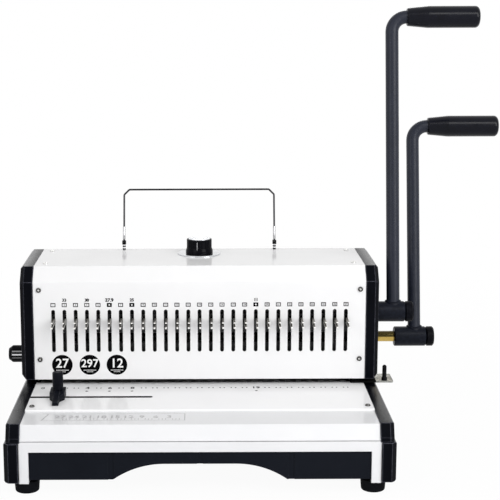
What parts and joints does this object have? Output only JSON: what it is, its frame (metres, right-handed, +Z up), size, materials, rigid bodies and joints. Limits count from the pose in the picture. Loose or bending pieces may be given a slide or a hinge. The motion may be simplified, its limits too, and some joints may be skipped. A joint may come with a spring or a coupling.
{
  "type": "wire binding machine",
  "caption": "Desktop wire binding machine: a lever punches slots along a sheet's edge, a second lever moves the hooks for the wire; side stops, chip drawer and knobs.",
  "frame": {"origin": "bottom centre of the whole machine's bounding box, levers included, on the bench", "axes": "+Z up, +Y towards the back of the machine, +X towards the levers on its right-hand side"},
  "size_m": [0.583, 0.3, 0.5012],
  "materials": {
    "white_steel": "gloss",
    "cover_plastic": "satin",
    "inner_steel": "brushed",
    "lever_steel": "satin",
    "grip_plastic": "gloss",
    "knob_plastic": "gloss",
    "black_metal": "satin",
    "sleeve_brass": "satin",
    "bright_chrome": "polished",
    "knob_cap": "satin",
    "zinc_plate": "satin",
    "hook_nickel": "satin",
    "die_steel": "ground",
    "screw_steel": "bright",
    "foot_rubber": "matte",
    "drawer_plastic": "satin"
  },
  "bodies": {
    "frame": {"base_pan": "inner_steel", "left_side_plate": "inner_steel", "right_side_plate": "inner_steel", "tie_rods": "inner_steel", "base_bezel": "white_steel", "table_cover": "white_steel", "ruler_plate": "white_steel", "housing_cover": "white_steel", "rear_cover": "white_steel", "left_side_cover": "cover_plastic", "right_side_cover": "cover_plastic", "left_base_cap": "cover_plastic", "right_base_cap": "cover_plastic", "die_block": "die_steel", "stripper_bar": "die_steel", "shaft_bushes": "sleeve_brass", "carriage_rails": "inner_steel", "drawer_rails": "inner_steel", "stop_bracket": "inner_steel", "dial_ring": "bright_chrome", "bail_sockets": "black_metal", "rubber_feet": "foot_rubber", "foot_screws": "screw_steel", "cover_screws": "screw_steel", "table_screws": "screw_steel"},
    "punch_lever": {"punch_shaft": "inner_steel", "punch_gears": "inner_steel", "punch_lever_hub": "lever_steel", "punch_lever_collar": "lever_steel", "punch_lever_post": "lever_steel", "punch_lever_grip": "grip_plastic"},
    "punch_carriage": {"punch_bar": "inner_steel", "punch_pins": "die_steel", "punch_racks": "inner_steel"},
    "binding_lever": {"binding_shaft": "inner_steel", "binding_gears": "inner_steel", "stop_finger": "inner_steel", "brass_sleeve": "sleeve_brass", "binding_lever_hub": "lever_steel", "binding_lever_collar": "lever_steel", "binding_lever_post": "lever_steel", "binding_lever_grip": "grip_plastic"},
    "hook_carriage": {"hook_bar": "inner_steel", "binding_hooks": "hook_nickel", "hook_racks": "inner_steel"},
    "size_dial": {"size_knob": "knob_plastic", "size_knob_cap": "knob_cap", "size_spindle": "inner_steel", "closing_stop": "inner_steel"},
    "margin_dial": {"margin_knob": "knob_plastic", "gauge_cam_rod": "inner_steel"},
    "back_gauge": {"back_gauge": "inner_steel"},
    "paper_guide": {"paper_guide": "knob_plastic", "guide_nut": "inner_steel"},
    "guide_lock": {"guide_knob": "knob_plastic"},
    "side_stop": {"side_stop_plate": "zinc_plate", "side_stop_pin": "black_metal"},
    "wire_bail": {"wire_bail": "bright_chrome"},
    "chip_drawer": {"chip_drawer_front": "drawer_plastic", "chip_drawer_tray": "drawer_plastic"}
  },
  "joints": [
    {"name": "punch_lever_turn", "type": "hinge", "parent": "frame", "child": "punch_lever", "pos_m": [-0.0685, 0.02698, 0.1555], "axis": [1, 0, 0], "range_deg": [0, 90]},
    {"name": "punch_carriage_slide", "type": "slide", "parent": "frame", "child": "punch_carriage", "axis": [0, 0, -1], "range_m": [0, 0.01651]},
    {"name": "binding_lever_turn", "type": "hinge", "parent": "frame", "child": "binding_lever", "pos_m": [-0.0685, 0.085, 0.1114], "axis": [1, 0, 0], "range_deg": [0, 80]},
    {"name": "hook_carriage_slide", "type": "slide", "parent": "frame", "child": "hook_carriage", "axis": [0, 0, -1], "range_m": [0, 0.0262]},
    {"name": "size_dial_turn", "type": "hinge", "parent": "frame", "child": "size_dial", "pos_m": [-0.0685, 0.083, 0.2133], "axis": [0, 0, 1], "range_deg": [0, 270]},
    {"name": "margin_dial_turn", "type": "hinge", "parent": "frame", "child": "margin_dial", "pos_m": [-0.0685, 0.045, 0.102], "axis": [1, 0, 0], "range_deg": [0, 180]},
    {"name": "back_gauge_slide", "type": "slide", "parent": "frame", "child": "back_gauge", "axis": [0, 1, 0], "range_m": [0, 0.00401]},
    {"name": "paper_guide_slide", "type": "slide", "parent": "frame", "child": "paper_guide", "axis": [1, 0, 0], "range_m": [-0.013, 0.096]},
    {"name": "guide_lock_turn", "type": "hinge", "parent": "paper_guide", "child": "guide_lock", "pos_m": [-0.2252, -0.0494, 0.0772], "axis": [0, 0, 1], "range_deg": [0, 180]},
    {"name": "side_stop_slide", "type": "slide", "parent": "frame", "child": "side_stop", "axis": [1, 0, 0], "range_m": [-0.006, 0.01]},
    {"name": "wire_bail_swing", "type": "hinge", "parent": "frame", "child": "wire_bail", "pos_m": [-0.0685, 0.112, 0.222], "axis": [1, 0, 0], "range_deg": [0, 100]},
    {"name": "chip_drawer_slide", "type": "slide", "parent": "frame", "child": "chip_drawer", "axis": [0, -1, 0], "range_m": [0, 0.17]}
  ],
  "couplings": [
    {"joint": "punch_carriage_slide", "follows": "punch_lever_turn", "m_per_rad": 0.0105},
    {"joint": "hook_carriage_slide", "follows": "binding_lever_turn", "m_per_rad": 0.01875},
    {"joint": "back_gauge_slide", "follows": "margin_dial_turn", "m_per_rad": 0.0012732}
  ]
}
